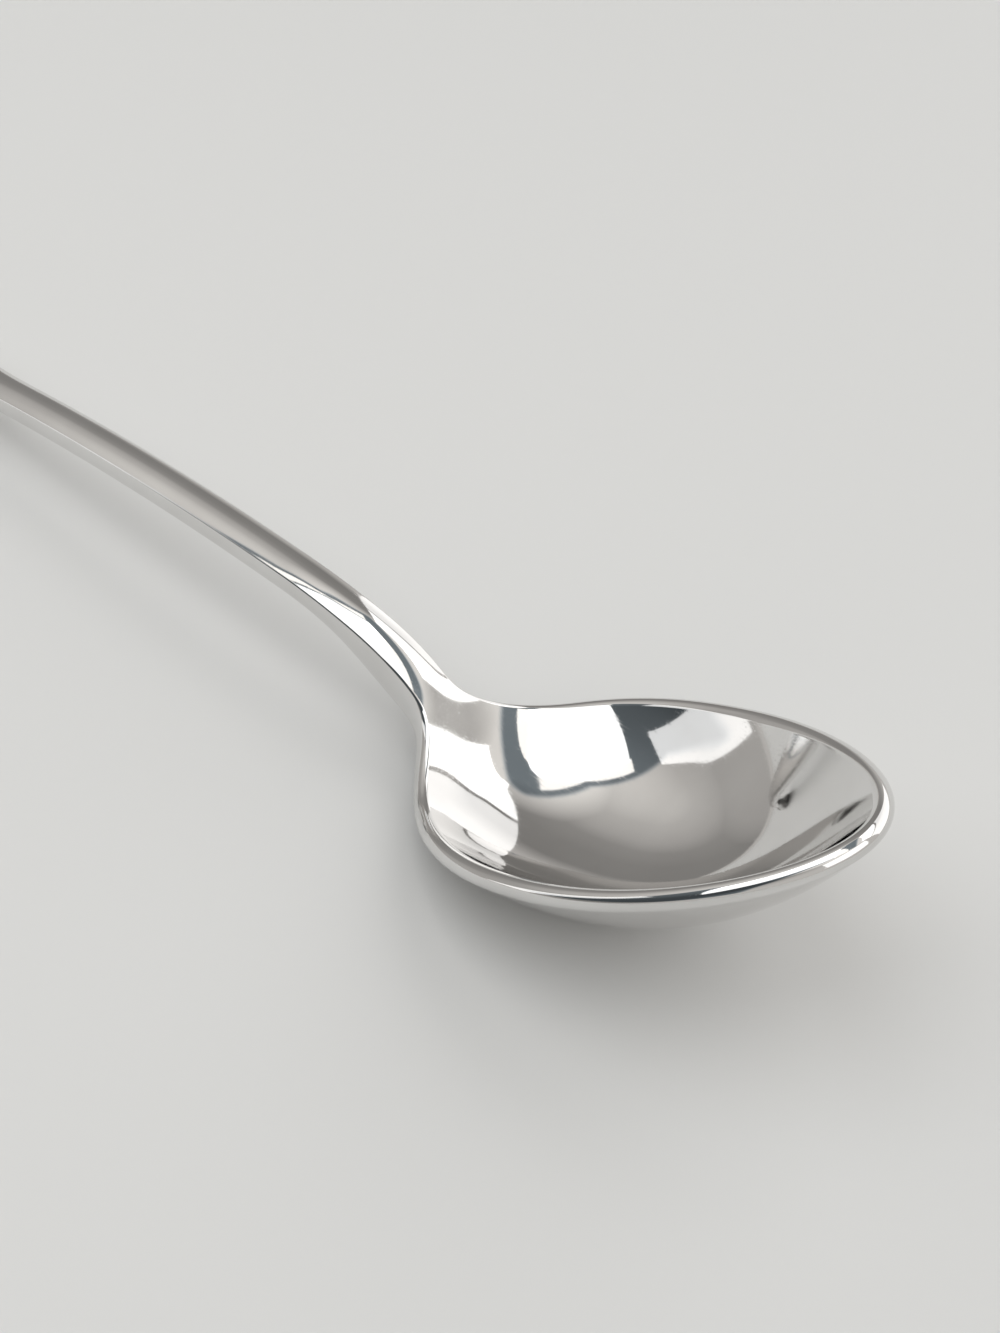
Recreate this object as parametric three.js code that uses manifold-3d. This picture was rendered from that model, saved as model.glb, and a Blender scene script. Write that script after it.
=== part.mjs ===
import * as THREE from "three";
import { mergeVertices } from "three/addons/utils/BufferGeometryUtils.js";
import Module from "manifold-3d";

// A teaspoon at rest on a table, in millimetres, +X towards the bowl's tip and +Z up from the table

// Driving sizes of the whole spoon
const overallLength = 139.6;
const bowlLength = 38.8;
const neckLength = 22.5;

// Driving sizes of the bowl
const bowlWidth = 27;
const bowlDepth = 7.63;
const bowlPitch = THREE.MathUtils.degToRad(25.97);
const rimCurl = 0.0027;
const rimThickness = 1.66;
const tipLength = 21.66;
const tipTaper = 0.186;
const heelLength = 21.87;
const heelFullness = 2.46;
const wallSteepness = 1.26;
const depthLean = 0.0289;

// Driving sizes of the neck, each run measured from the shoulder or from the crest of the stem
const shoulderDrop = 0.68;
const shoulderFillet = 6.93;
const shoulderBlend = 4.2;
const neckBend = 2.42;
const hollowLead = 7.9;
const hollowTail = 4.5;
const thinLead = 4.5;
const thinTail = 11.2;
const neckSwell = 1.7;
const swellPlace = 15;
const swellSpan = 6.1;
const crownLead = 14.6;
const roundLead = 9;
const roundTail = 7.9;

// Driving sizes of the stem
const stemWidth = 3.3;
const stemThickness = 1.77;
const stemEdgeRound = 0.22;
const crownHeight = 0.45;
const bellyShare = 0.6;
const crestHeight = 9;

// Driving sizes of the handle's end
const endWidth = 10.6;
const endThickness = 1.7;
const endRoundLength = 7.5;
const endFlareLength = 34;
const endEdgeRound = 0.6;
const footLength = 6;
const footFillet = 2;
const archBend = 1.99;

// Flats that rest on the table are cut this deep into the rounded underside
const bowlFlatDepth = 0.08;
const footFlatDepth = 0.08;

// How finely the surface is divided
const topSteps = 20;
const edgeSteps = 6;
const neckStations = 28;
const bowlStations = 34;
const stemStations = 22;
const endStations = 22;
const slopeStep = 0.001;

// Places along the spoon that follow from the sizes
const tipX = overallLength / 2;
const endX = -overallLength / 2;
const rimRadius = rimThickness / 2;
const tipEdgeX = tipX - rimRadius;
const shoulderX = tipX - bowlLength;
const crestX = shoulderX - neckLength;
const widestX = tipX - tipLength;
const rimMiddleX = (shoulderX + tipX) / 2;
const bowlHalf = bowlWidth / 2 - rimRadius;
const stemHalf = stemWidth / 2;
const endEdgeBulge = (endThickness / 2) * endEdgeRound;
const endHalf = endWidth / 2 - endEdgeBulge;
const endEdgeX = endX + endEdgeBulge;
const footX = endX + footLength;
const footHeight = endThickness / 2 - footFlatDepth;

// A value that eases from 0 to 1 between two places
function ease(from, to, x) {
  return THREE.MathUtils.smootherstep(x, from, to);
}

// The larger of two values, with the corner between them rounded
function roundedMax(a, b, fillet) {
  const near = Math.max(fillet - Math.abs(a - b), 0) / fillet;
  return Math.max(a, b) + (near * near * near * fillet) / 6;
}

// Half width from the stem through the shoulders to the widest place: the heel's curve, blended into the stem
function shoulderHalf(x) {
  const heel = bowlHalf * (1 - ((widestX - x) / heelLength) ** heelFullness);
  return roundedMax(stemHalf, heel, shoulderBlend);
}

// Square of the half width from the widest place to the tip, half an ellipse that is drawn in a little
function tipSquared(x) {
  const away = (x - widestX) / (tipEdgeX - widestX);
  return bowlHalf * bowlHalf * (1 - away * away) * (1 - tipTaper * away * away);
}

// Half width of the handle with its broad rounded end
function handleHalf(x) {
  const widened = ease(0, endFlareLength, footX + endFlareLength - x);
  const half = stemHalf + (endHalf - stemHalf) * widened;
  const into = Math.max((endEdgeX + endRoundLength - x) / endRoundLength, 0);
  return half * Math.sqrt(Math.max(1 - into * into, 0));
}

// Square of the half width anywhere along the spoon, smooth at both ends
function halfSquared(x) {
  if (x > widestX) return tipSquared(x);
  return (x < crestX ? handleHalf(x) : shoulderHalf(x)) ** 2;
}

// Half width of the outline through the middle of the edge
function halfWidth(x) {
  return Math.sqrt(Math.max(halfSquared(x), 0));
}

// Height of the rim line above the bowl's own datum, before the spoon is set on the table
function rimHeight(x) {
  const fromMiddle = x - rimMiddleX;
  return fromMiddle * Math.tan(bowlPitch) + rimCurl * fromMiddle * fromMiddle;
}

// Depth of the hollow below the rim line
function hollow(x, y) {
  const opened = ease(shoulderX - hollowLead, shoulderX + hollowTail, x);
  const share = ((halfSquared(x) - y * y) / (bowlHalf * bowlHalf)) * opened;
  const leaning = bowlDepth * (1 + depthLean * (x - widestX));
  return leaning * (wallSteepness * share - (wallSteepness - 1) * share * share);
}

// Thickness of the metal, greatest where the neck bends
function thickness(x) {
  const towardsEnd = ease(0, endFlareLength, footX + endFlareLength - x);
  const stem = stemThickness + (endThickness - stemThickness) * towardsEnd;
  const thinned = ease(shoulderX - thinLead, shoulderX + thinTail, x);
  const fromSwell = (x - crestX - swellPlace) / swellSpan;
  const swell = neckSwell * Math.exp(-fromSwell * fromSwell) * ease(crestX, crestX + swellSpan, x);
  return stem + (rimThickness - stem) * thinned + swell;
}

// Height of the crown on top of the stem, which is gone where the hollow begins
function crown(x) {
  return crownHeight * (1 - ease(shoulderX - crownLead, shoulderX, x));
}

// How far the edge bulges, as a share of half the thickness: near flat on the stem, full round on the rim
function edgeRound(x) {
  const towardsBowl = ease(shoulderX - roundLead, shoulderX + roundTail, x);
  const towardsEnd = ease(0, endFlareLength, footX + endFlareLength - x);
  const stem = stemEdgeRound + (endEdgeRound - stemEdgeRound) * towardsEnd;
  return stem + (1 - stem) * towardsBowl;
}

// The bowl is set down so that its underside dips below the table by the depth of its flat
function findRimMiddleHeight() {
  let lowest = Infinity;
  for (let x = shoulderX; x < tipEdgeX; x += 0.25) {
    const middle = rimHeight(x) - hollow(x, 0);
    const next = rimHeight(x + slopeStep) - hollow(x + slopeStep, 0);
    const slope = (next - middle) / slopeStep;
    lowest = Math.min(lowest, middle - (thickness(x) / 2) * Math.hypot(1, slope));
  }
  return -lowest - bowlFlatDepth;
}
const rimMiddleHeight = findRimMiddleHeight();

// Height of the edge line above the table: arch of the handle, drop of the neck, climb of the rim
function edgeHeight(x) {
  if (x < crestX) {
    const along = (crestX - x) / (crestX - footX);
    const arch = crestHeight - (crestHeight - footHeight) * along ** archBend;
    return roundedMax(arch, footHeight, footFillet);
  }
  const along = (x - crestX) / neckLength;
  const neckDrop = crestHeight + shoulderDrop - rimMiddleHeight - rimHeight(shoulderX);
  const neck = crestHeight - neckDrop * along ** neckBend;
  return roundedMax(neck, rimMiddleHeight + rimHeight(x), shoulderFillet);
}

// Height of the surface midway through the metal
function middleHeight(x, y) {
  return edgeHeight(x) - hollow(x, y);
}

// Direction square to the middle surface
function surfaceNormal(x, y) {
  const alongX = middleHeight(x + slopeStep, y) - middleHeight(x - slopeStep, y);
  const alongY = middleHeight(x, y + slopeStep) - middleHeight(x, y - slopeStep);
  return new THREE.Vector3(-alongX, -alongY, 2 * slopeStep).normalize();
}

// Direction that leaves the surface at its edge, side is 1 for +Y and -1 for -Y
function edgeOutward(x, side, normal) {
  const half = halfWidth(x);
  const widening = (halfSquared(x + slopeStep) - halfSquared(x - slopeStep)) / (4 * slopeStep);
  const climbing = (edgeHeight(x + slopeStep) - edgeHeight(x - slopeStep)) / (2 * slopeStep);
  const along = new THREE.Vector3(half, side * widening, half * climbing).normalize();
  return new THREE.Vector3().crossVectors(normal, along).multiplyScalar(side);
}

// One point of the skin: across runs from -1 to 1 over the width, face is 1 on top and -1 underneath
function facePoint(x, across, face) {
  const y = halfWidth(x) * across;
  const rise = crown(x) * (1 - across * across) * (face > 0 ? 1 : bellyShare);
  const offset = face * (thickness(x) / 2 + rise);
  const point = new THREE.Vector3(x, y, middleHeight(x, y));
  return point.addScaledVector(surfaceNormal(x, y), offset);
}

// One point of the rounded edge: turn runs from 0 at the top to 1 underneath
function edgePoint(x, side, turn) {
  const y = halfWidth(x) * side;
  const normal = surfaceNormal(x, y);
  const outward = edgeOutward(x, side, normal);
  const half = thickness(x) / 2;
  const point = new THREE.Vector3(x, y, middleHeight(x, y));
  point.addScaledVector(normal, half * Math.cos(Math.PI * turn));
  return point.addScaledVector(outward, half * edgeRound(x) * Math.sin(Math.PI * turn));
}

// All points of one section, over the top to +Y, round that edge, back underneath and round the other edge
function sectionPoints(x) {
  const points = [];
  for (let i = 0; i <= topSteps; i += 1) {
    points.push(facePoint(x, Math.sin((Math.PI / 2) * ((2 * i) / topSteps - 1)), 1));
  }
  for (let i = 1; i < edgeSteps; i += 1) {
    points.push(edgePoint(x, 1, i / edgeSteps));
  }
  for (let i = topSteps; i >= 0; i -= 1) {
    points.push(facePoint(x, Math.sin((Math.PI / 2) * ((2 * i) / topSteps - 1)), -1));
  }
  for (let i = edgeSteps - 1; i > 0; i -= 1) {
    points.push(edgePoint(x, -1, i / edgeSteps));
  }
  return points;
}

// Solid skinned over sections, from the crest of the stem to an end of the spoon, where it closes
function skinned(stations) {
  const positions = [];
  const indices = [];
  const ringSize = 2 * (topSteps + 1) + 2 * (edgeSteps - 1);
  const forward = stations[stations.length - 1] > stations[0];
  const addFace = (a, b, c) => {
    if (a === b || b === c || c === a) return;
    indices.push(...(forward ? [a, b, c] : [a, c, b]));
  };
  const rings = stations.map((x, station) => {
    const points = sectionPoints(x);
    const first = positions.length / 3;
    points.forEach((point) => positions.push(point.x, point.y, point.z));
    const closing = station === stations.length - 1;
    return points.map((_, i) => {
      if (!closing) return first + i;
      if (i <= topSteps) return first + topSteps;
      if (i <= topSteps + edgeSteps) return first + i;
      if (i <= 2 * topSteps + edgeSteps) return first + topSteps + edgeSteps;
      return first + 3 * topSteps + 2 * edgeSteps - i;
    });
  });
  for (let station = 0; station + 1 < rings.length; station += 1) {
    for (let i = 0; i < ringSize; i += 1) {
      const next = (i + 1) % ringSize;
      const here = rings[station];
      const there = rings[station + 1];
      addFace(here[i], there[i], there[next]);
      addFace(here[i], there[next], here[next]);
    }
  }
  const centre = positions.length / 3;
  positions.push(stations[0], 0, middleHeight(stations[0], 0));
  for (let i = 0; i < ringSize; i += 1) {
    addFace(centre, rings[0][i], rings[0][(i + 1) % ringSize]);
  }
  const geometry = new THREE.BufferGeometry();
  geometry.setAttribute("position", new THREE.Float32BufferAttribute(positions, 3));
  geometry.setIndex(indices);
  return geometry;
}

// Places of the sections, evenly along the stem and closer together towards an end
function evenStations(from, to, count) {
  return Array.from({ length: count }, (_, i) => from + ((to - from) * i) / count);
}
function closingStations(from, to, count) {
  const share = (i) => Math.sin((Math.PI / 2) * (i / count));
  return Array.from({ length: count + 1 }, (_, i) => from + (to - from) * share(i));
}

// Booleans on closed geometry
const wasm = await Module();
wasm.setup();
function solidOf(geometry) {
  const bare = geometry.clone();
  bare.deleteAttribute("normal");
  bare.deleteAttribute("uv");
  const welded = mergeVertices(bare, 1e-5);
  const vertProperties = new Float32Array(welded.attributes.position.array);
  const triVerts = new Uint32Array(welded.index.array);
  return new wasm.Manifold(new wasm.Mesh({ numProp: 3, vertProperties, triVerts }));
}
function geometryOf(solid) {
  const mesh = solid.getMesh();
  const geometry = new THREE.BufferGeometry();
  geometry.setAttribute("position", new THREE.BufferAttribute(mesh.vertProperties, 3));
  geometry.setIndex(new THREE.BufferAttribute(mesh.triVerts, 1));
  geometry.computeVertexNormals();
  return geometry;
}

// Everything under the table top is cut away, which leaves the two flats that the spoon rests on
const belowTable = new THREE.BoxGeometry(overallLength * 2, overallLength, overallLength);
belowTable.translate(0, 0, -overallLength / 2);
const tableSolid = solidOf(belowTable);

// Bowl with the neck
const bowlFromX = shoulderX + roundTail;
const bowlSections = [
  ...evenStations(crestX, bowlFromX, neckStations),
  ...closingStations(bowlFromX, tipEdgeX, bowlStations),
];
const bowlSolid = solidOf(skinned(bowlSections)).subtract(tableSolid);

// Handle from the crest of the stem to its end
const handleBroadX = footX + endFlareLength / 2;
const handleSections = [
  ...evenStations(crestX, handleBroadX, stemStations),
  ...closingStations(handleBroadX, endEdgeX, endStations),
];
const handleSolid = solidOf(skinned(handleSections)).subtract(tableSolid);

// Polished steel, a little less bright on the handle, which is held most
const bowlMetal = new THREE.MeshStandardMaterial({ color: 0xd2d2cf, roughness: 0.1, metalness: 1 });
const handleMetal = new THREE.MeshStandardMaterial({ color: 0xcfcfcc, roughness: 0.14, metalness: 1 });

const bowl = new THREE.Mesh(geometryOf(bowlSolid), bowlMetal);
bowl.name = "bowl";
const handle = new THREE.Mesh(geometryOf(handleSolid), handleMetal);
handle.name = "handle";

const teaspoon = new THREE.Group();
teaspoon.name = "teaspoon";
teaspoon.add(bowl, handle);

export default teaspoon;
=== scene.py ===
# %% [markdown]
# A teaspoon in polished steel
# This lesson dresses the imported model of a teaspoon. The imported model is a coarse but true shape. A
# mirror finish shows every facet, so the bowl and the handle are drawn again here from the same sizes,
# much finer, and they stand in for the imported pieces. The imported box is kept, so that the new pieces can
# be held against it.

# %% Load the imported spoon
import math
import bmesh
import bpy
import numpy as np
from mathutils import Matrix, Vector


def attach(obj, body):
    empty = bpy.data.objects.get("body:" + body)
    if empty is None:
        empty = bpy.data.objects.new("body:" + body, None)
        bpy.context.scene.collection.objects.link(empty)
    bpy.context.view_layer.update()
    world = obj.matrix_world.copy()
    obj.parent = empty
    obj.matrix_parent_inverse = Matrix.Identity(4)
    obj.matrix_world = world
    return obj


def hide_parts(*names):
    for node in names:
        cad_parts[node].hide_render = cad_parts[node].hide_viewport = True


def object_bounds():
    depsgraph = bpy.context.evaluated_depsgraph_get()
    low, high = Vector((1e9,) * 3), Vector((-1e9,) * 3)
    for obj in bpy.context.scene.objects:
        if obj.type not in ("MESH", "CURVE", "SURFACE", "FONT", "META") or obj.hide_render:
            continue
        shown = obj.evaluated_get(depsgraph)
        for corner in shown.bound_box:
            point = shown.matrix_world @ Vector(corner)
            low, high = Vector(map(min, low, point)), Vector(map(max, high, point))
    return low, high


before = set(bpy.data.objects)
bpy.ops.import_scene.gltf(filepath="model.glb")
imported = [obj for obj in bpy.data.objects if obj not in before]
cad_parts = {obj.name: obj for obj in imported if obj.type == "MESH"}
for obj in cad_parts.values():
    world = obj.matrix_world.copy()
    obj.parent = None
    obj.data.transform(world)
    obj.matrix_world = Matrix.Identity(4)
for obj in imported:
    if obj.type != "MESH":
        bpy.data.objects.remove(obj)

METRE = 1000
cad_box = [list(corner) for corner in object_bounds()]


def in_millimetres(box):
    return [[round(value * METRE, 2) for value in corner] for corner in box]


print("packed pieces:", sorted(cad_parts))
print("packed box in millimetres:", in_millimetres(cad_box))

# %% [markdown]
# The camera
# The camera looks down at the bowl from the side of its tip, from close by, so the bowl is large and the
# handle runs away and out of the picture. A camera can be aimed with a Track To constraint, or by its own
# matrix. The matrix is used here, because its three columns are easy to read: right, up and back.

# %% Place the camera
VIEW_RISE = math.radians(42.51)
VIEW_TURN = math.radians(44.95)
CAMERA_PLACE = Vector((0.12234, -0.08837, 0.12858))
LENS_LENGTH = 58.39
NEAREST_SEEN = 0.01
back_x = math.cos(VIEW_RISE) * math.sin(VIEW_TURN)
back_y = -math.cos(VIEW_RISE) * math.cos(VIEW_TURN)
camera_right = Vector((math.cos(VIEW_TURN), math.sin(VIEW_TURN), 0))
camera_back = Vector((back_x, back_y, math.sin(VIEW_RISE)))
camera_up = camera_back.cross(camera_right)
camera_data = bpy.data.cameras.new("camera")
camera_data.lens = LENS_LENGTH
camera_data.clip_start = NEAREST_SEEN
camera = bpy.data.objects.new("camera", camera_data)
camera_axes = Matrix((camera_right, camera_up, camera_back)).transposed().to_4x4()
camera.matrix_world = Matrix.Translation(CAMERA_PLACE) @ camera_axes
bpy.context.collection.objects.link(camera)
bpy.context.scene.camera = camera
print("camera height in millimetres:", round(CAMERA_PLACE.z * METRE, 1))

# %% [markdown]
# The measures of the spoon
# All sizes are in millimetres, as a maker would take them, with X running from the handle's end to the
# bowl's tip. They could be written straight into the formulas. Each has a name instead, and stands beside
# the first formula that needs it, so a longer stem or a wider bowl is one number to change. Metres come
# in when a mesh is made.

# %% Places along the spoon
LENGTH = 139.6
BOWL_LENGTH, TIP_LENGTH = 38.8, 21.66
NECK_LENGTH, FOOT_LENGTH = 22.5, 6.0
RIM_THICKNESS = 1.66
TIP_X, END_X = LENGTH / 2, -LENGTH / 2
TIP_EDGE_X = TIP_X - RIM_THICKNESS / 2
SHOULDER_X = TIP_X - BOWL_LENGTH
CREST_X = SHOULDER_X - NECK_LENGTH
WIDEST_X = TIP_X - TIP_LENGTH
FOOT_X = END_X + FOOT_LENGTH
print("crest of the stem at", round(CREST_X, 2), "widest place of the bowl at", round(WIDEST_X, 2))

# %% [markdown]
# The outline from above
# Seen from above, a spoon is one smooth outline: a slim stem, a heel that swells out of it into a full
# bowl, and a tip that is half an ellipse, drawn in a little. It could be traced with a curve object. A
# formula is kept here, because the depth of the hollow is worked out from the same outline. Two helpers
# join shapes without a crease: ease starts and stops gently, and rounded_max takes the larger of two
# values and rounds the corner where they meet.


# %% Helpers for smooth joins
def ease(start, stop, x):
    t = np.clip((x - start) / (stop - start), 0, 1)
    return t * t * t * (t * (6 * t - 15) + 10)


def rounded_max(a, b, fillet):
    near = max(fillet - abs(a - b), 0) / fillet
    return max(a, b) + near ** 3 * fillet / 6


print("a quarter of the way along, ease has risen by", round(float(ease(0, 4, 1)), 3))

# %% Half width of the bowl and the neck
BOWL_WIDTH, STEM_WIDTH = 27.0, 3.3
TIP_TAPER = 0.186
HEEL_LENGTH, HEEL_FULLNESS, SHOULDER_BLEND = 21.87, 2.46, 4.2
BOWL_HALF = BOWL_WIDTH / 2 - RIM_THICKNESS / 2
STEM_HALF = STEM_WIDTH / 2


def tip_squared(x):
    away = (x - WIDEST_X) / (TIP_EDGE_X - WIDEST_X)
    return BOWL_HALF ** 2 * (1 - away * away) * (1 - TIP_TAPER * away * away)


def heel_squared(x):
    heel = BOWL_HALF * (1 - ((WIDEST_X - x) / HEEL_LENGTH) ** HEEL_FULLNESS)
    return rounded_max(STEM_HALF, heel, SHOULDER_BLEND) ** 2


print("width at the shoulder:", round(2 * math.sqrt(heel_squared(SHOULDER_X)), 2))

# %% Half width of the handle
END_WIDTH, END_THICKNESS, END_EDGE_ROUND = 10.6, 1.7, 0.6
END_ROUND_LENGTH, END_FLARE_LENGTH = 7.5, 34.0
END_BULGE = END_THICKNESS / 2 * END_EDGE_ROUND
END_HALF = END_WIDTH / 2 - END_BULGE
END_EDGE_X = END_X + END_BULGE


def towards_end(x):
    return ease(0, END_FLARE_LENGTH, FOOT_X + END_FLARE_LENGTH - x)


def end_round(x):
    into = max((END_EDGE_X + END_ROUND_LENGTH - x) / END_ROUND_LENGTH, 0)
    return 1 - into * into


def handle_squared(x):
    broad = STEM_HALF + (END_HALF - STEM_HALF) * towards_end(x)
    return broad ** 2 * end_round(x)


print("width at the foot of the handle:", round(2 * (math.sqrt(handle_squared(FOOT_X)) + END_BULGE), 2))


# %% Half width at any place
def half_width_squared(x):
    if x > WIDEST_X:
        return tip_squared(x)
    if x >= CREST_X:
        return heel_squared(x)
    return handle_squared(x)


def half_width(x):
    return math.sqrt(max(half_width_squared(x), 0))


print("stem", round(2 * half_width(0), 2), "bowl", round(2 * half_width(WIDEST_X) + RIM_THICKNESS, 2))

# %% [markdown]
# The hollow of the bowl
# The bowl is pressed to a depth that follows its outline, so the wall is steep at the rim and flat in the
# middle, and the hollow leans a little deeper towards the tip. It could be sculpted, or a sheet could be
# pushed in with a lattice. A formula is used, because a mirror shows the smallest dent, and a formula has
# none.

# %% Depth of the hollow
BOWL_DEPTH, WALL_STEEPNESS, DEPTH_LEAN = 7.63, 1.26, 0.0289
HOLLOW_LEAD, HOLLOW_TAIL = 7.9, 4.5


def hollow(x, y):
    opened = ease(SHOULDER_X - HOLLOW_LEAD, SHOULDER_X + HOLLOW_TAIL, x)
    share = (half_width_squared(x) - y * y) / BOWL_HALF ** 2 * opened
    leaning = BOWL_DEPTH * (1 + DEPTH_LEAN * (x - WIDEST_X))
    return leaning * (WALL_STEEPNESS * share - (WALL_STEEPNESS - 1) * share * share)


print("depth at the widest place:", round(float(hollow(WIDEST_X, 0)), 2))

# %% [markdown]
# The metal
# A spoon is thickest where its neck bends, because it would give way there first. The stem has a low
# crown along its top and a lower one underneath. Both sink to nothing before the bowl and round the
# handle's end. The edge is nearly square on the stem and fully round on the rim. A Solidify modifier
# would give one even thickness. These measures change along the spoon, so each has a small formula of its
# own.

# %% Thickness of the metal
STEM_THICKNESS = 1.77
THIN_LEAD, THIN_TAIL = 4.5, 11.2
NECK_SWELL, SWELL_PLACE, SWELL_SPAN = 1.7, 15.0, 6.1


def thickness(x):
    stem = STEM_THICKNESS + (END_THICKNESS - STEM_THICKNESS) * towards_end(x)
    thinned = ease(SHOULDER_X - THIN_LEAD, SHOULDER_X + THIN_TAIL, x)
    from_swell = (x - CREST_X - SWELL_PLACE) / SWELL_SPAN
    swell = NECK_SWELL * math.exp(-from_swell ** 2) * ease(CREST_X, CREST_X + SWELL_SPAN, x)
    return stem + (RIM_THICKNESS - stem) * thinned + swell


print("metal at the swell of the neck:", round(float(thickness(CREST_X + SWELL_PLACE)), 2))

# %% Crown of the stem and roundness of the edge
CROWN_HEIGHT, CROWN_LEAD = 0.45, 14.6
STEM_EDGE_ROUND = 0.22
ROUND_LEAD, ROUND_TAIL = 9.0, 7.9


def crown(x):
    rounded_off = math.sqrt(max(end_round(x), 0))
    return CROWN_HEIGHT * rounded_off * (1 - ease(SHOULDER_X - CROWN_LEAD, SHOULDER_X, x))


def edge_round(x):
    stem = STEM_EDGE_ROUND + (END_EDGE_ROUND - STEM_EDGE_ROUND) * towards_end(x)
    return stem + (1 - stem) * ease(SHOULDER_X - ROUND_LEAD, SHOULDER_X + ROUND_TAIL, x)


crown_heights = [round(float(crown(x)), 2) for x in (CREST_X, SHOULDER_X)]
print("crown on the crest and at the shoulder:", crown_heights)

# %% [markdown]
# The line of the edge
# The edge line is what the eye follows from the side: the arch of the stem, the drop of the neck and the
# climb of the rim. It could be a curve that the sections hang on. It is a formula here, so that the bowl
# can be set down on the table first and the neck led to its rim afterwards. Bowl and handle start a
# little below the table, by the depth of the flats that the spoon rests on.

# %% Height of the rim
BOWL_PITCH, RIM_CURL = math.radians(25.97), 0.0027
RIM_MIDDLE_X = (SHOULDER_X + TIP_X) / 2
FLAT_DEPTH = 0.08
SLOPE_STEP, SEARCH_STEP = 0.001, 0.25


def rim_height(x):
    from_middle = x - RIM_MIDDLE_X
    return from_middle * math.tan(BOWL_PITCH) + RIM_CURL * from_middle ** 2


def underside(x):
    middle = rim_height(x) - hollow(x, 0)
    slope = (rim_height(x + SLOPE_STEP) - hollow(x + SLOPE_STEP, 0) - middle) / SLOPE_STEP
    return middle - thickness(x) / 2 * math.hypot(1, slope)


lowest = min(underside(x) for x in np.arange(SHOULDER_X, TIP_EDGE_X, SEARCH_STEP))
RIM_MIDDLE_HEIGHT = -lowest - FLAT_DEPTH
print("rim at the middle of the bowl is", round(RIM_MIDDLE_HEIGHT, 2), "above the table")

# %% Height of the edge line above the table
CREST_HEIGHT, ARCH_BEND, NECK_BEND = 9.0, 1.99, 2.42
SHOULDER_DROP, SHOULDER_FILLET, FOOT_FILLET = 0.68, 6.93, 2.0
FOOT_HEIGHT = END_THICKNESS / 2 - FLAT_DEPTH


def stem_height(x):
    along = (CREST_X - x) / (CREST_X - FOOT_X)
    arch = CREST_HEIGHT - (CREST_HEIGHT - FOOT_HEIGHT) * along ** ARCH_BEND
    return rounded_max(arch, FOOT_HEIGHT, FOOT_FILLET)


def neck_height(x):
    along = (x - CREST_X) / NECK_LENGTH
    drop = CREST_HEIGHT + SHOULDER_DROP - RIM_MIDDLE_HEIGHT - rim_height(SHOULDER_X)
    neck = CREST_HEIGHT - drop * along ** NECK_BEND
    return rounded_max(neck, RIM_MIDDLE_HEIGHT + rim_height(x), SHOULDER_FILLET)


def edge_height(x):
    return stem_height(x) if x < CREST_X else neck_height(x)


print("edge at the shoulder is", round(edge_height(SHOULDER_X), 2), "above the table")

# %% [markdown]
# One section of the skin
# A section is a closed ring of points across the spoon: over the top, round one edge, back underneath and
# round the other edge. A spoon could also be pulled out of a subdivided box. Rings are chosen, because
# every point can stand off from the surface midway through the metal, square to it, so the metal has its
# thickness also where the wall is steep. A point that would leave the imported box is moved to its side,
# which also makes the two flats.

# %% Surface midway through the metal
TOP_STEPS = 48
ACROSS = np.sin(math.pi / 2 * np.linspace(-1, 1, TOP_STEPS + 1))


def unit(vectors):
    return vectors / np.linalg.norm(vectors, axis=-1, keepdims=True)


def surface(x, y):
    height = edge_height(x) - hollow(x, y)
    ahead = edge_height(x + SLOPE_STEP) - hollow(x + SLOPE_STEP, y)
    rise_x = (ahead - edge_height(x - SLOPE_STEP) + hollow(x - SLOPE_STEP, y)) / (2 * SLOPE_STEP)
    rise_y = (hollow(x, y - SLOPE_STEP) - hollow(x, y + SLOPE_STEP)) / (2 * SLOPE_STEP)
    points = np.stack([np.full_like(y, x), y, height + 0 * y], axis=-1)
    normals = unit(np.stack([-rise_x + 0 * y, -rise_y + 0 * y, np.ones_like(y)], axis=-1))
    return points, normals


print("points across the top of a section:", len(ACROSS))

# %% Round of the edge
EDGE_STEPS = 12
EDGE_TURN = np.linspace(0, math.pi, EDGE_STEPS + 1)[1:-1]


def edge_points(x, side):
    half = half_width(x)
    point, normal = surface(x, np.array([side * half]))
    widening = (half_width_squared(x + SLOPE_STEP) - half_width_squared(x - SLOPE_STEP)) / (4 * SLOPE_STEP)
    climbing = (edge_height(x + SLOPE_STEP) - edge_height(x - SLOPE_STEP)) / (2 * SLOPE_STEP)
    along = unit(np.array([half, side * widening, half * climbing]))
    outward = np.cross(normal[0], along) * side
    radius = thickness(x) / 2
    up_part = np.outer(np.cos(EDGE_TURN), normal[0])
    out_part = np.outer(np.sin(EDGE_TURN), outward) * edge_round(x)
    return point + radius * (up_part + out_part)


print("points round one edge:", len(edge_points(CREST_X, 1)))

# %% One whole section
BELLY_SHARE = 0.6
PACKED_LOW, PACKED_HIGH = np.array(cad_box) * METRE


def section(x):
    points, normals = surface(x, half_width(x) * ACROSS)
    bulge = (crown(x) * (1 - ACROSS ** 2))[:, None]
    half = thickness(x) / 2
    top = points + normals * (half + bulge)
    under = points - normals * (half + bulge * BELLY_SHARE)
    ring = np.concatenate([top, edge_points(x, 1), under[::-1], edge_points(x, -1)[::-1]])
    return np.clip(ring, PACKED_LOW, PACKED_HIGH)


print("points in one section:", len(section(CREST_X)))

# %% [markdown]
# The skin as a mesh
# Sections joined one to the next with quads give the skin. This is called a loft. A curve object with a
# bevel makes a skin without a script, but its section keeps one shape, and a spoon's doesn't. At an end
# of the spoon the last ring has no width, so its points fall together and are merged. The cut at the
# crest is closed with one face, whose edge is marked sharp, so that smooth shading doesn't run round the
# corner.


# %% Stations along a piece
def evenly(start, stop, count):
    return list(np.linspace(start, stop, count, endpoint=False))


def closing(start, stop, count):
    return list(start + (stop - start) * np.sin(math.pi / 2 * np.linspace(0, 1, count + 1)))


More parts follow.
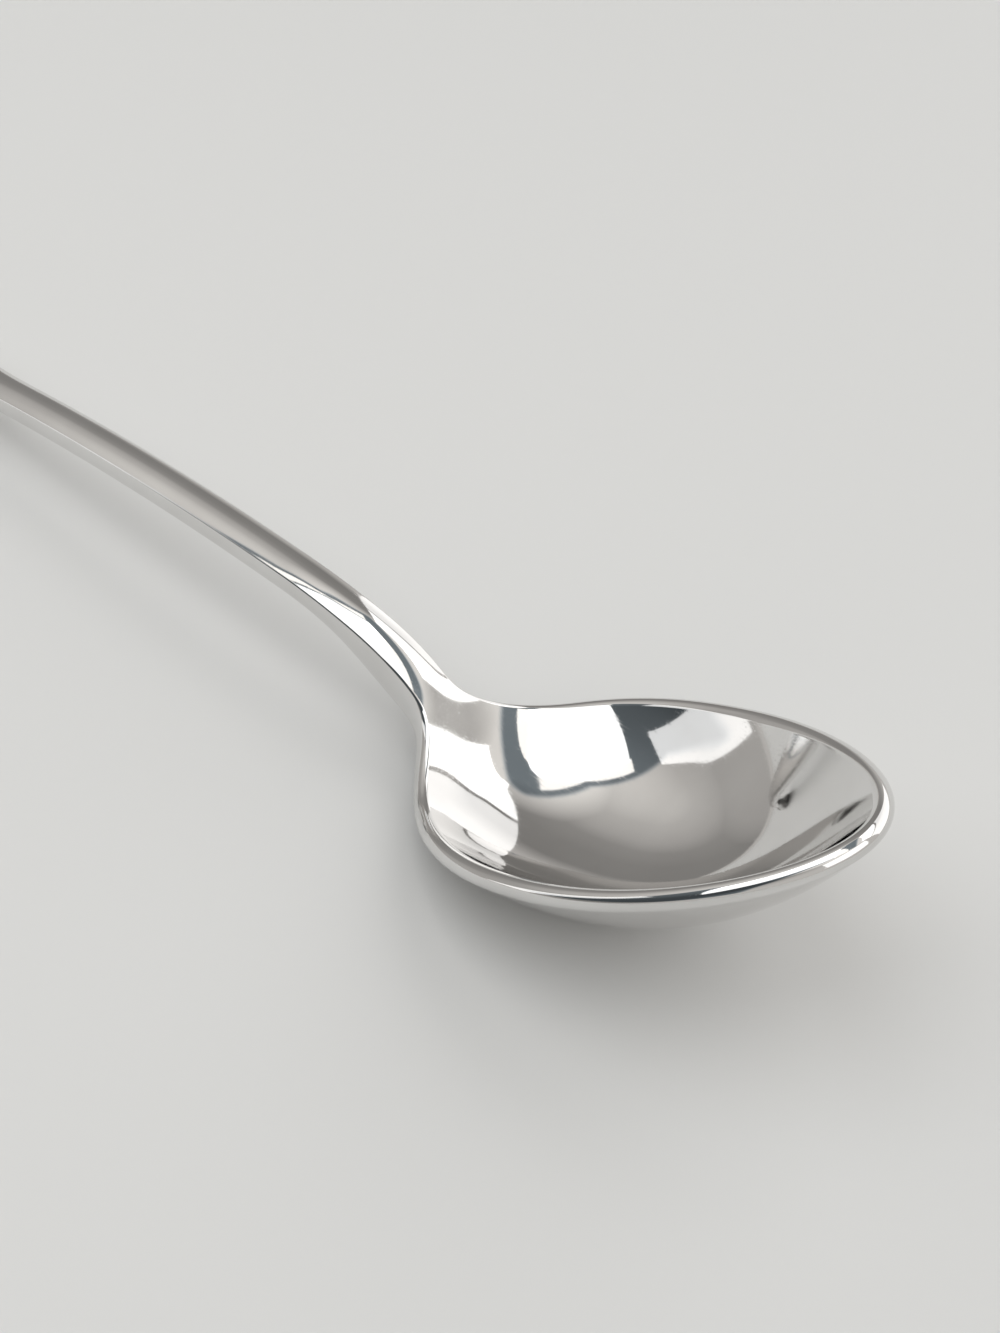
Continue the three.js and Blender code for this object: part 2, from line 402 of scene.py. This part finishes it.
print("four stations that close up towards a tip:", [round(float(x), 2) for x in closing(0, 1, 3)])

# %% Join sections into a piece
MILLIMETRE = 0.001
SAME_PLACE, NO_LENGTH = 1e-7, 1e-9
QUAD_CORNERS = 4


def join_rings(mesh_maker, rings):
    count = len(rings[0])
    for ring, next_ring in zip(rings, rings[1:]):
        for i in range(count):
            j = (i + 1) % count
            mesh_maker.faces.new((ring[i], next_ring[i], next_ring[j], ring[j]))


def skin(name, stations):
    mesh_maker = bmesh.new()
    rings = [[mesh_maker.verts.new(point * MILLIMETRE) for point in section(x)] for x in stations]
    join_rings(mesh_maker, rings)
    cut = mesh_maker.faces.new(rings[0])
    for edge in cut.edges:
        edge.smooth = False
    bmesh.ops.remove_doubles(mesh_maker, verts=rings[-1], dist=SAME_PLACE)
    bmesh.ops.dissolve_degenerate(mesh_maker, edges=mesh_maker.edges, dist=NO_LENGTH)
    bmesh.ops.recalc_face_normals(mesh_maker, faces=mesh_maker.faces)
    for face in mesh_maker.faces:
        face.smooth = len(face.verts) <= QUAD_CORNERS
    mesh = bpy.data.meshes.new(name)
    mesh_maker.to_mesh(mesh)
    mesh_maker.free()
    piece = bpy.data.objects.new(name, mesh)
    bpy.context.collection.objects.link(piece)
    print(name, "has", len(mesh.polygons), "faces")
    return piece


print("quads between two sections:", len(section(CREST_X)))

# %% [markdown]
# The bowl with the neck
# On the real spoon the bowl and the neck are pressed in one stroke. They could be two meshes blended with
# a modifier, but a blend shows in a mirror, so they are one piece here, from the crest of the stem to the
# tip. Sections lie closer together towards the tip, where the outline turns fastest.

# %% Make the bowl
BOWL_FROM_X = SHOULDER_X + ROUND_TAIL
NECK_SECTIONS, BOWL_SECTIONS = 90, 100
neck_stations = evenly(CREST_X, BOWL_FROM_X, NECK_SECTIONS)
bowl = skin("spoon_bowl", neck_stations + closing(BOWL_FROM_X, TIP_EDGE_X, BOWL_SECTIONS))
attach(bowl, "root")
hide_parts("bowl")

# %% [markdown]
# The handle
# The handle is the slim arch that is held, and ends in a plain broad round that rests on the table. It
# could be a flat strip that is bent with a modifier. It is made like the bowl instead, and begins at the
# crest with the very same ring of points, so no seam shows.

# %% Make the handle
HANDLE_BROAD_X = FOOT_X + END_FLARE_LENGTH / 2
STEM_SECTIONS, END_SECTIONS = 90, 70
stem_stations = evenly(CREST_X, HANDLE_BROAD_X, STEM_SECTIONS)
handle = skin("spoon_handle", stem_stations + closing(HANDLE_BROAD_X, END_EDGE_X, END_SECTIONS))
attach(handle, "root")
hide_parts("handle")

# %% [markdown]
# The polished steel
# A spoon from daily use is a mirror with a history: long hairlines from wiping, shorter ones from the
# drawer, and a faint veil where it was dried. One flat metal colour would look like a drawing, and
# painted scratches would need a picture. Noise gives both without one. The textures use object
# coordinates, which both pieces share, so the finish runs on across the crest.


# %% Start the polished steel
def add_node(tree, kind, sockets=None, **settings):
    node = tree.nodes.new(kind)
    for setting, value in settings.items():
        setattr(node, setting, value)
    for socket, value in (sockets or {}).items():
        node.inputs[socket].default_value = value
    return node


steel = bpy.data.materials.new("polished_steel")
steel.use_nodes = True
steel_nodes = steel.node_tree
steel_shader = steel_nodes.nodes["Principled BSDF"]
steel_shader.inputs["Metallic"].default_value = 1.0
on_the_spoon = add_node(steel_nodes, "ShaderNodeTexCoord").outputs["Object"]
for piece in (bowl, handle):
    piece.data.materials.append(steel)
print("pieces in polished steel:", steel.users)

# %% [markdown]
# Hairlines
# Wiping draws fine lines that run along the spoon, and the drawer adds shorter ones at an angle. A wave
# texture would lay them out too evenly. Noise that is stretched along one direction gives lines of uneven
# length, and a narrow band cut out of the noise leaves only its peaks, so the lines stay apart.


# %% Make the hairlines
def combine(tree, operation, first, *others):
    result = first
    for other in others:
        both = add_node(tree, "ShaderNodeMath", operation=operation)
        tree.links.new(result, both.inputs[0])
        tree.links.new(other, both.inputs[1])
        result = both.outputs[0]
    return result


def hairlines(turn, stretch, fine, low, high):
    scale = (fine / stretch, fine, fine)
    mapping = add_node(steel_nodes, "ShaderNodeMapping", {"Rotation": (0, 0, turn), "Scale": scale})
    noise = add_node(steel_nodes, "ShaderNodeTexNoise", {"Scale": 1.0, "Detail": 2.0})
    band = add_node(steel_nodes, "ShaderNodeMapRange", {"From Min": low, "From Max": high}, clamp=True)
    steel_nodes.links.new(on_the_spoon, mapping.inputs["Vector"])
    steel_nodes.links.new(mapping.outputs["Vector"], noise.inputs["Vector"])
    steel_nodes.links.new(noise.outputs["Fac"], band.inputs["Value"])
    return band.outputs["Result"]


wiping = hairlines(turn=0.05, stretch=60, fine=9000, low=0.60, high=0.72)
drawer = hairlines(turn=0.9, stretch=40, fine=6000, low=0.66, high=0.76)
crossing = hairlines(turn=-0.6, stretch=40, fine=5000, low=0.66, high=0.76)
lines = combine(steel_nodes, "MAXIMUM", wiping, drawer, crossing)
print("nodes in the steel so far:", len(steel_nodes.nodes))

# %% [markdown]
# The veil
# A spoon that dries by itself keeps a faint veil, too weak to see as a spot. It could be a coat layer.
# Here one broad noise makes the steel a little rougher and a little paler in soft patches, the hairlines
# are rougher again, and a very small bump lets them catch the light.

# %% Roughness of the steel
LINE_ROUGHNESS = 0.06
VEIL_ROUGHNESS = {"From Min": 0.35, "From Max": 0.75, "To Min": 0.035, "To Max": 0.075}
veil = add_node(steel_nodes, "ShaderNodeTexNoise", {"Scale": 120.0, "Detail": 4.0})
veil_rough = add_node(steel_nodes, "ShaderNodeMapRange", VEIL_ROUGHNESS, clamp=True)
rough = add_node(steel_nodes, "ShaderNodeMath", {1: LINE_ROUGHNESS}, operation="MULTIPLY_ADD")
steel_nodes.links.new(on_the_spoon, veil.inputs["Vector"])
steel_nodes.links.new(veil.outputs["Fac"], veil_rough.inputs["Value"])
steel_nodes.links.new(lines, rough.inputs[0])
steel_nodes.links.new(veil_rough.outputs["Result"], rough.inputs[2])
steel_nodes.links.new(rough.outputs[0], steel_shader.inputs["Roughness"])
print("clean steel has a roughness of", VEIL_ROUGHNESS["To Min"])

# %% Colour and bump of the steel
CLEAN_PLACE, CLEAN_STEEL = 0.3, (0.70, 0.69, 0.68, 1)
VEILED_PLACE, VEILED_STEEL = 0.75, (0.77, 0.765, 0.755, 1)
LINE_BUMP = {"Strength": 0.02, "Distance": 0.00002}
tone = add_node(steel_nodes, "ShaderNodeValToRGB")
clean_end, veiled_end = tone.color_ramp.elements
clean_end.position = CLEAN_PLACE
clean_end.color = CLEAN_STEEL
veiled_end.position = VEILED_PLACE
veiled_end.color = VEILED_STEEL
steel_nodes.links.new(veil.outputs["Fac"], tone.inputs["Fac"])
steel_nodes.links.new(tone.outputs["Color"], steel_shader.inputs["Base Color"])
bump = add_node(steel_nodes, "ShaderNodeBump", LINE_BUMP, invert=True)
steel_nodes.links.new(lines, bump.inputs["Height"])
steel_nodes.links.new(bump.outputs["Normal"], steel_shader.inputs["Normal"])
print("nodes in the steel:", len(steel_nodes.nodes))

# %% [markdown]
# The floor
# A plain pale floor carries the spoon and its shadow. It could be a backdrop that curves up behind the
# spoon, but the spoon would mirror the curve from behind. A plain disc is the same from every side. It
# fills the camera's picture, and where a lower view looks past its edge, the room there is pale as well.

# %% Make the floor
FLOOR_RADIUS, FLOOR_SIDES = 0.5, 96
FLOOR_COLOUR, FLOOR_ROUGHNESS = (0.66, 0.66, 0.65, 1), 0.6
bpy.ops.mesh.primitive_circle_add(vertices=FLOOR_SIDES, radius=FLOOR_RADIUS, fill_type="NGON")
floor = bpy.context.object
floor.name = "floor"
pale = bpy.data.materials.new("pale_floor")
pale.use_nodes = True
pale_shader = pale.node_tree.nodes["Principled BSDF"]
pale_shader.inputs["Base Color"].default_value = FLOOR_COLOUR
pale_shader.inputs["Roughness"].default_value = FLOOR_ROUGHNESS
floor.data.materials.append(pale)
print("floor is", round(floor.dimensions.x, 2), "metres across")

# %% [markdown]
# The light
# Polished metal shows its surroundings more than itself, so the light is planned by what the bowl should
# mirror. A softbox overhead lies as a white patch on the far wall of the bowl. A tall window of two panes
# whitens the heel and the neck. A reflector gives the pale patch beside the softbox's and the highlight
# along the near rim, and a fill keeps the shadow soft. Glowing meshes could do this too. Area lamps are
# chosen, because they cast clean soft light. Each is given by its middle, its two edges and its level,
# which says how bright the panel itself looks.

# %% A lamp panel
BOWL_CENTRE = Vector((0.042, 0.0, 0.008))


def lamp_panel(name, middle, along, across, width, height, level):
    data = bpy.data.lights.new(name, "AREA")
    data.shape = "RECTANGLE"
    data.size = width
    data.size_y = height
    data.energy = level * math.pi * width * height
    lamp = bpy.data.objects.new(name, data)
    along, across = Vector(along).normalized(), Vector(across).normalized()
    axes = Matrix((along, across, along.cross(across))).transposed().to_4x4()
    lamp.matrix_world = Matrix.Translation(BOWL_CENTRE + Vector(middle)) @ axes
    lamp.visible_camera = False
    bpy.context.collection.objects.link(lamp)
    print(name, "stands", round(lamp.matrix_world.translation.z, 2), "metres above the floor")


print("middle of the bowl, in metres:", [round(value, 3) for value in BOWL_CENTRE])

# %% Place the softbox and the window
UP = (0, 0, 1)
SOFTBOX_LEVEL = 1.5
SOFTBOX_ALONG, SOFTBOX_ACROSS = (0.493, 0.868, -0.060), (-0.696, 0.435, 0.571)
WINDOW_ALONG, WINDOW_WIDTH = (-0.990, 0.139, 0.0), 1.02
lamp_panel("softbox", middle=(-0.216, -0.175, 0.526), along=SOFTBOX_ALONG, across=SOFTBOX_ACROSS,
           width=0.62, height=0.57, level=SOFTBOX_LEVEL)
lamp_panel("upper_pane", middle=(0.021, 0.704, 0.920), along=WINDOW_ALONG, across=UP,
           width=WINDOW_WIDTH, height=0.600, level=1.3)
lamp_panel("lower_pane", middle=(0.021, 0.704, 0.308), along=WINDOW_ALONG, across=UP,
           width=WINDOW_WIDTH, height=0.535, level=0.85)

# %% Place the reflector and the fill
REFLECTOR_ALONG, REFLECTOR_ACROSS = (0.581, -0.814, 0), (0.253, 0.181, 0.951)
FILL_ALONG, FILL_ACROSS = (-0.087, 0.996, 0), (-0.571, -0.050, 0.819)
lamp_panel("reflector", middle=(-0.602, -0.429, 0.242), along=REFLECTOR_ALONG, across=REFLECTOR_ACROSS,
           width=0.170, height=0.46, level=0.85)
lamp_panel("fill", middle=(0.653, 0.057, 0.459), along=FILL_ALONG, across=FILL_ACROSS,
           width=0.8, height=0.6, level=0.9)

# %% [markdown]
# The room
# Between the lamps the spoon mirrors the room: a warm grey wall that glows under the softbox, a paler far
# wall, and a floor that goes on below the horizon. Real walls could be built, or a picture wrapped round
# the scene. The room is drawn in the world's shader instead, because each wall is then only a ramp over
# one direction: the cosine between the direction looked at and an axis says how far along the ramp a
# place lies.

# %% Start the room
world = bpy.data.worlds.new("studio_room")
world.use_nodes = True
bpy.context.scene.world = world
room = world.node_tree
direction = add_node(room, "ShaderNodeTexCoord").outputs["Generated"]


def towards(axis):
    cosine = add_node(room, "ShaderNodeVectorMath", {1: axis}, operation="DOT_PRODUCT")
    room.links.new(direction, cosine.inputs[0])
    return cosine.outputs["Value"]


def shades(value, stops):
    ramp_node = add_node(room, "ShaderNodeValToRGB")
    ramp = ramp_node.color_ramp
    while len(ramp.elements) < len(stops):
        ramp.elements.new(1.0)
    for element, (place, level) in zip(ramp.elements, stops):
        element.position = place
        element.color = (level, level, level, 1)
    room.links.new(value, ramp_node.inputs["Fac"])
    return ramp_node.outputs["Color"]


print("the room starts with nodes:", [node.name for node in room.nodes])

# %% Walls of the room
GLOW_AXIS, FAR_WALL_AXIS = (-0.621, -0.166, 0.766), (-0.94, -0.34, 0)
WALL_STOPS = [(0.00, 0.62), (0.30, 0.52), (0.45, 0.26), (0.65, 0.28),
              (0.78, 0.33), (0.85, 0.46), (0.93, 0.56), (1.00, 0.78)]
CEILING_STOPS = [(0.00, 0.58), (0.02, 0.0), (0.60, 0.0), (0.80, 0.72), (0.85, 0.92), (1.00, 0.95)]
FAR_WALL_STOPS = [(0.00, 0.0), (0.80, 0.0), (0.87, 0.30), (0.95, 0.43), (1.00, 0.46)]
wall = shades(towards(GLOW_AXIS), WALL_STOPS)
ceiling = shades(towards(UP), CEILING_STOPS)
far_wall = shades(towards(FAR_WALL_AXIS), FAR_WALL_STOPS)
lit_room = combine(room, "MAXIMUM", wall, ceiling, far_wall)
print("below the horizon the room has a level of", CEILING_STOPS[0][1])

# %% [markdown]
# The dark ceiling
# Round the softbox the ceiling is dark. This matters: without dark parts to mirror, polished steel looks
# like grey paint. Black cards are hung up for this in a studio. Here the room's light is held back inside
# a few limits instead, because no card can then get in a lamp's way. Each limit is again a cosine, and
# the room turns dark where the cosine goes beyond a place, with a soft edge.


# %% Darken the ceiling round the softbox
def beyond(axis, place, soft):
    span = {"From Min": place - soft, "From Max": place + soft}
    edge = add_node(room, "ShaderNodeMapRange", span, clamp=True, interpolation_type="SMOOTHSTEP")
    room.links.new(towards(axis), edge.inputs["Value"])
    return edge.outputs["Result"]


LOWER_EDGES = [(0.864, -0.190, 0.467), (0.711, -0.571, 0.410)]


def under_the_softbox(place, soft):
    return combine(room, "MAXIMUM", *[beyond(axis, place, soft) for axis in LOWER_EDGES])


under_box = under_the_softbox(place=-0.04, soft=0.02)
right_of_box = beyond(axis=(0.545, -0.839, 0), place=0.0, soft=0.03)
left_limit = beyond(axis=(-0.25, -0.97, 0), place=-0.40, soft=0.03)
floor_limit = beyond(axis=UP, place=0.14, soft=0.04)
tip_limit = beyond(axis=(-0.970, 0.321, -0.341), place=-0.65, soft=0.05)
beside_box = combine(room, "MAXIMUM", under_box, right_of_box)
dark = combine(room, "MULTIPLY", beside_box, left_limit, floor_limit, tip_limit)
print("nodes in the room so far:", len(room.nodes))

# %% [markdown]
# The flaps of the softbox
# A softbox can carry white flaps that lengthen its light. Here they lie along its lower edge and at its
# left side. A small error in the curve of the bowl bends the mirrored edge of a plain rectangle, and the
# flaps straighten it. They could be lamps, but a lamp is a rectangle or an ellipse, and these have
# slanted sides. So they are cut out of the room between planes through its middle, with crisp edges and
# the level of the softbox.

# %% Add the flaps
CRISP = 0.004
LOW_FLAP_SIDES = [(-0.881, -0.429, -0.198), (0.663, 0.301, 0.686), (-0.796, 0.422, -0.434)]
SIDE_FLAP_SIDES = [(-0.145, -0.967, 0.211), SOFTBOX_ALONG, (-0.802, 0.480, 0.355)]


def between(sides):
    return [beyond(axis, place=0.0, soft=CRISP) for axis in sides]


low_flaps = combine(room, "MULTIPLY", under_the_softbox(place=0.0, soft=CRISP), *between(LOW_FLAP_SIDES))
side_flap = combine(room, "MULTIPLY", *between(SIDE_FLAP_SIDES))
flaps = combine(room, "MAXIMUM", low_flaps, side_flap)
print("planes that cut the flaps:", len(LOWER_EDGES) + len(LOW_FLAP_SIDES) + len(SIDE_FLAP_SIDES))

# %% [markdown]
# The tint and the strength of the room
# Daylight leaves dark places slightly blue, and lamps leave lit ones slightly warm. Two worlds could be
# mixed for this. One ramp between two tints is simpler, and the mask of the dark ceiling, less the flaps,
# says how far to go.

# %% Tint and light the room
WARM, COOL = (1.0, 0.97, 0.93, 1), (0.80, 0.92, 1.0, 1)
DARK_SHARE = 0.28
background = room.nodes["Background"]
tint = add_node(room, "ShaderNodeValToRGB")
tint.color_ramp.elements[0].color = WARM
tint.color_ramp.elements[1].color = COOL
shade = add_node(room, "ShaderNodeMapRange", {"To Min": 1.0, "To Max": DARK_SHARE}, clamp=True)
flap_light = add_node(room, "ShaderNodeMath", {1: SOFTBOX_LEVEL}, operation="MULTIPLY")
room.links.new(combine(room, "SUBTRACT", dark, flaps), tint.inputs["Fac"])
room.links.new(tint.outputs["Color"], background.inputs["Color"])
room.links.new(dark, shade.inputs["Value"])
room.links.new(flaps, flap_light.inputs[0])
shaded_room = combine(room, "MULTIPLY", lit_room, shade.outputs["Result"])
room_light = combine(room, "MAXIMUM", shaded_room, flap_light.outputs[0])
room.links.new(room_light, background.inputs["Strength"])
bpy.context.scene.view_settings.view_transform = "Standard"
print("nodes in the room:", len(room.nodes))
